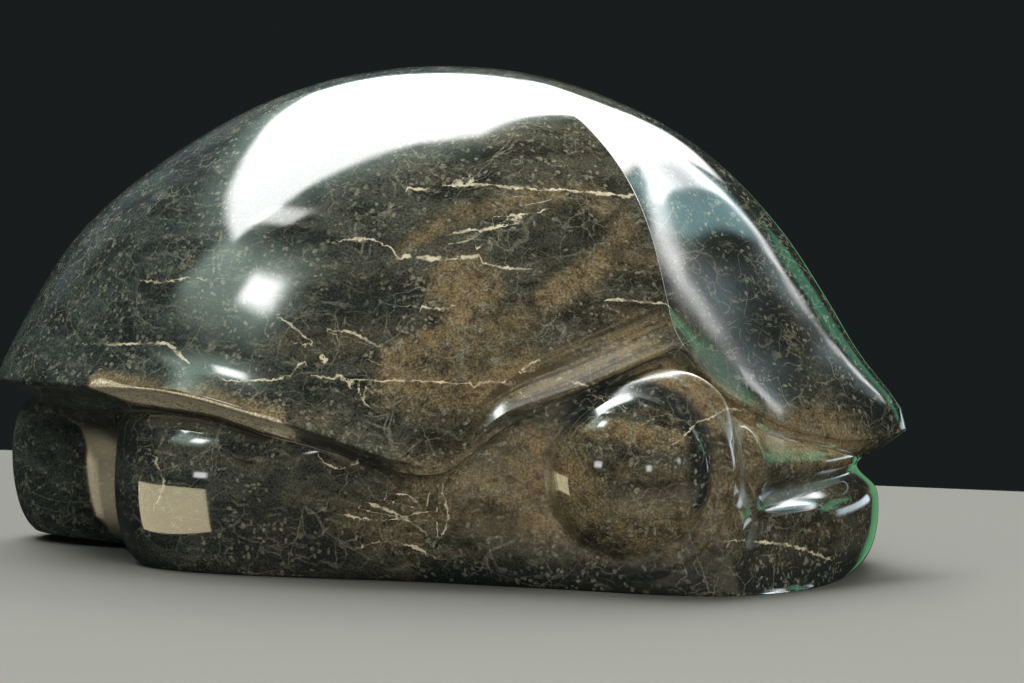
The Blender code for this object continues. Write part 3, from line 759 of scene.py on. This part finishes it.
# Long veins, ragged along their edges and broken here and there.
vein_part = add("ShaderNodeSeparateXYZ", Vector=vein_socket)
ragged = calc("MULTIPLY", calc("SUBTRACT", noise(place, 520.0, 2.0, 0.6), 0.5), 0.0030)
off = calc("ABSOLUTE", calc("ADD", vein_part.outputs[0], ragged))
swell = calc("MULTIPLY", vein_part.outputs[2], step(noise(place, 130.0, 2.0), 0.30, 0.62))
inside = step(off, swell, calc("MULTIPLY", swell, 0.4))
close = step(vein_part.outputs[1], 0.006, 0.004)
paleness = step(noise(place, 210.0, 2.0), 0.25, 0.65)
colour = tint(calc("MULTIPLY", calc("MULTIPLY", inside, close), paleness), colour, CREAM)

# Thin stripes of brown and gold that follow the flare over the eye boss.
flow_part = add("ShaderNodeSeparateXYZ", Vector=flow_socket)
stripe_place = vector("ADD", flow_socket, vector("MULTIPLY", wobble, (0.003, 0.003, 0.003)))
stripes = noise(vector("MULTIPLY", stripe_place, (14.0, 330.0, 1.0)), 1.0, 3.0, 0.6)
above_rim, from_nose = flow_part.outputs[1], flow_part.outputs[0]
at_flare = calc("MULTIPLY", step(above_rim, 0.026, 0.010), step(above_rim, -0.004, 0.001))
over_eye = calc("MULTIPLY", step(from_nose, 0.10, 0.125), step(from_nose, 0.215, 0.18))
at_flare = calc("MULTIPLY", at_flare, over_eye)
colour = tint(calc("MULTIPLY", at_flare, calc("MULTIPLY", step(stripes, 0.48, 0.64), 0.7)), colour, OCHRE)
colour = tint(calc("MULTIPLY", at_flare, calc("MULTIPLY", step(stripes, 0.52, 0.38), 0.8)), colour, RUST)

# The polish: glassy on the open faces and duller in the recesses, with slow swells that bend reflections.
tree.links.new(colour, surface.inputs["Base Color"])
surface.inputs["Metallic"].default_value = 0.0
surface.inputs["IOR"].default_value = 1.7
recess_socket = add("ShaderNodeAttribute", _attribute_name="recesses").outputs["Fac"]
shine = calc("MULTIPLY_ADD", step(clouds, 0.3, 0.7), 0.05, 0.045)
dullness = calc("MULTIPLY_ADD", step(recess_socket, 0.02, 0.20), 0.30, shine)
tree.links.new(dullness, surface.inputs["Roughness"])
swells = add("ShaderNodeBump", Height=noise(place, 13.0, 2.0), Distance=0.0006, Strength=1.0)
tree.links.new(swells.outputs["Normal"], surface.inputs["Normal"])
mesh.materials.append(stone)
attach(turtle, "root")
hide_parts("fossil_turtle_shell")

# The studio floor is pale, flat and matt. It ends a little way behind the stone, before a dark backdrop,
# and it isn't mirrored in the polish, so that the lower body stays dark.
FLOOR_SIDE = 1.2
FLOOR_NEAR = -1.6
FLOOR_FAR = 0.45
PALE_GREY = (0.145, 0.142, 0.130, 1.0)
floor_mesh = bpy.data.meshes.new("floor")
floor_mesh.from_pydata([(-FLOOR_SIDE, FLOOR_NEAR, 0), (FLOOR_SIDE, FLOOR_NEAR, 0),
                        (FLOOR_SIDE, FLOOR_FAR, 0), (-FLOOR_SIDE, FLOOR_FAR, 0)], [], [(0, 1, 2, 3)])
floor = bpy.data.objects.new("floor", floor_mesh)
bpy.context.scene.collection.objects.link(floor)
pale = bpy.data.materials.new("pale_floor")
pale.use_nodes = True
matt = pale.node_tree.nodes["Principled BSDF"]
matt.inputs["Base Color"].default_value = PALE_GREY
matt.inputs["Roughness"].default_value = 0.9
matt.inputs["Specular IOR Level"].default_value = 0.0
floor_mesh.materials.append(pale)
floor.visible_glossy = False

# The studio is dark, with soft panels of light overhead, towards the nose and towards the tail.
# The polish mirrors them, and the camera sees only the dark backdrop.
BACKDROP = (0.010, 0.012, 0.012)
DAYLIGHT = (1.0, 1.0, 1.0)
SKY = (0.75, 0.95, 1.00)
LEAF = (0.30, 1.00, 0.60)
LAMP = (1.00, 0.86, 0.56)

# The panels, (colour, strength, bearings, lower edge, upper edge, soft margin), in degrees: each stands
# between two bearings, counted as azimuths are, and its edges run straight from one bearing to the other.
PANELS = [
    (DAYLIGHT, 8.0, (58.5, 95), (36.5, 27.5), (47, 47), 1.8),
    (DAYLIGHT, 8.0, (46, 59), (39, 42.5), (44, 46), 1.0),
    (DAYLIGHT, 6.0, (32, 52), (30.0, 40.8), (33.2, 42.8), 1.6),
    (DAYLIGHT, 4.0, (26.5, 33), (25.6, 29.0), (28.2, 32.0), 1.6),
    (SKY, 1.3, (23, 48), (25.5, 38), (31, 42), 3.0),
    ((0.55, 0.95, 1.00), 2.2, (34, 57), (36.5, 38.5), (44.5, 43.5), 2.5),
    (LEAF, 0.9, (37, 56), (21, 21), (31, 31), 3.0),
    ((0.30, 1.00, 0.45), 0.45, (74, 90), (-12, -12), (8, 8), 2.0),
    (LEAF, 1.0, (28, 39), (12, 12), (25, 27), 2.0),
    ((0.75, 0.90, 1.00), 3.0, (36, 70), (0, 0), (9, 9), 2.0),
    (LAMP, 0.5, (-100, 0), (-30, -30), (-8, -8), 6.0),
    ((0.75, 1.00, 0.85), 2.4, (-152, -124), (36, 36), (50, 50), 4.0),
    (DAYLIGHT, 14.0, (-134, -126), (40, 40), (46, 46), 1.5),
    (DAYLIGHT, 8.0, (-153, -138), (55, 56), (59, 60), 1.0),
    ((0.60, 0.80, 1.00), 0.12, (90, 150), (15, 15), (50, 50), 5.0),
    (DAYLIGHT, 8.0, (-121, -115), (7, 7), (11, 11), 1.0),
    (DAYLIGHT, 8.0, (-81, -77), (6, 6), (10, 10), 1.0),
    (DAYLIGHT, 6.0, (-50, -46), (13, 13), (17, 17), 1.0),
]

world = bpy.data.worlds.new("dark_studio")
world.use_nodes = True
bpy.context.scene.world = world
tree = world.node_tree
toward = add("ShaderNodeSeparateXYZ", Vector=add("ShaderNodeTexCoord").outputs["Generated"])
east, north, rise = toward.outputs[0], toward.outputs[1], toward.outputs[2]
bearing = calc("DEGREES", calc("ARCTAN2", north, east))
elevation = calc("DEGREES", calc("ARCSINE", rise))


def between(value, low, high, soft):
    """1 where the value lies between low and high, falling to 0 over the soft margin on either side."""
    above = step(calc("SUBTRACT", value, low), -soft, soft)
    return calc("MULTIPLY", above, step(calc("SUBTRACT", value, high), soft, -soft))


def edge_line(bearings, heights):
    """The height of a panel's edge at a bearing: straight from one end of the panel to the other."""
    slope = (heights[1] - heights[0]) / (bearings[1] - bearings[0])
    return calc("MULTIPLY_ADD", bearing, slope, heights[0] - slope * bearings[0])


def shine_of(colour, share):
    """Light of a colour where the share is 1, and less of it in proportion."""
    return add("ShaderNodeVectorMath", _operation="SCALE", i0=colour, Scale=share).outputs[0]


# The overhead panel is flat, one unit up, and its near edge is cut in two straight lines.
OVERHEAD_STRENGTH = 11.0
height_of_ray = calc("MAXIMUM", rise, 0.05)
across, away = calc("DIVIDE", east, height_of_ray), calc("DIVIDE", north, height_of_ray)
flat_cut = calc("MULTIPLY_ADD", across, 0.794, 0.129)
steep_cut = calc("MULTIPLY_ADD", across, 2.6, 0.283)
near_edge = calc("MAXIMUM", flat_cut, steep_cut)
overhead = calc("MULTIPLY", between(across, -0.71, 0.22, 0.03), between(away, near_edge, 1.6, 0.03))
overhead = calc("MULTIPLY", calc("MULTIPLY", overhead, step(rise, 0.06, 0.12)), OVERHEAD_STRENGTH)
light = add("ShaderNodeCombineXYZ", X=overhead, Y=overhead, Z=overhead).outputs[0]
light = vector("ADD", light, BACKDROP)

# A weak haze of its light spreads round it.
HAZE = (0.95, 1.30, 1.15)
haze = between(away, calc("SUBTRACT", near_edge, 0.10), 1.8, 0.12)
haze = calc("MULTIPLY", between(across, -0.80, 0.30, 0.10), haze)
haze = calc("MULTIPLY", haze, step(rise, 0.3, 0.5))
light = vector("ADD", light, shine_of(HAZE, haze))

for shade, strength, bearings, low, high, soft in PANELS:
    lit = between(elevation, edge_line(bearings, low), edge_line(bearings, high), soft)
    lit = calc("MULTIPLY", between(bearing, *bearings, soft), lit)
    light = vector("ADD", light, shine_of(tuple(strength * c for c in shade), lit))
seen = add("ShaderNodeLightPath").outputs["Is Camera Ray"]
tree.links.new(tint(seen, light, BACKDROP), tree.nodes["Background"].inputs["Color"])
tree.nodes["Background"].inputs["Strength"].default_value = 1.0


def soft_box(name, centre, target, size, power, colour, mirrored):
    """A rectangular area light at centre that looks at target, and shows in the polish or lights the stone.

    Its own axes are the way back from the target, a level line across that, and their product upwards.
    """
    lamp = bpy.data.lights.new(name, "AREA")
    lamp.shape = "RECTANGLE"
    lamp.size, lamp.size_y = size
    lamp.energy = power
    lamp.color = colour
    placed = bpy.data.objects.new(name, lamp)
    placed.visible_glossy = mirrored
    placed.visible_diffuse = not mirrored
    placed.visible_camera = False
    away = np.array(centre, float) - np.array(target, float)
    away = away / np.linalg.norm(away)
    side = np.cross((0.0, 0.0, 1.0), away)
    side = side / np.linalg.norm(side)
    top = np.cross(away, side)
    rows = [[side[k], top[k], away[k], centre[k]] for k in range(3)] + [[0.0, 0.0, 0.0, 1.0]]
    placed.matrix_world = [list(r) for r in zip(*rows)]
    bpy.context.scene.collection.objects.link(placed)


# A large box lights the stone from its nose. A small warm one beside the hind limb shows in the polish alone.
soft_box("front_fill", (1.3, -1.9, 0.8), (0.0, 0.0, 0.1), (1.0, 0.8), 42.0, (1.0, 0.98, 0.93), False)
soft_box("low_warm_box", (-0.195, -0.200, 0.002), (-0.120, -0.135, 0.012), (0.16, 0.07), 0.16, LAMP, True)

# The camera stands far off on the turtle's right with a long lens, and leans a little to one side.
LENS = 164.1                              # millimetres
SENSOR = 36.0
CAMERA_RIGHT = (0.9838, 0.1773, 0.0249)   # its own axes
CAMERA_UP = (-0.0354, 0.0560, 0.9978)
CAMERA_BACK = (0.1755, -0.9826, 0.0613)
CAMERA_SPOT = (0.4161, -2.1657, 0.2372)   # from the middle line of the azimuths
camera_data = bpy.data.cameras.new("camera")
camera_data.lens = LENS
camera_data.sensor_width = SENSOR
camera = bpy.data.objects.new("camera", camera_data)
spot = (CAMERA_SPOT[0] - middle, *CAMERA_SPOT[1:])
camera.matrix_world = [[*CAMERA_RIGHT, 0.0], [*CAMERA_UP, 0.0], [*CAMERA_BACK, 0.0], [*spot, 1.0]]
bpy.context.scene.collection.objects.link(camera)
bpy.context.scene.camera = camera
bpy.context.scene.view_settings.view_transform = "Standard"
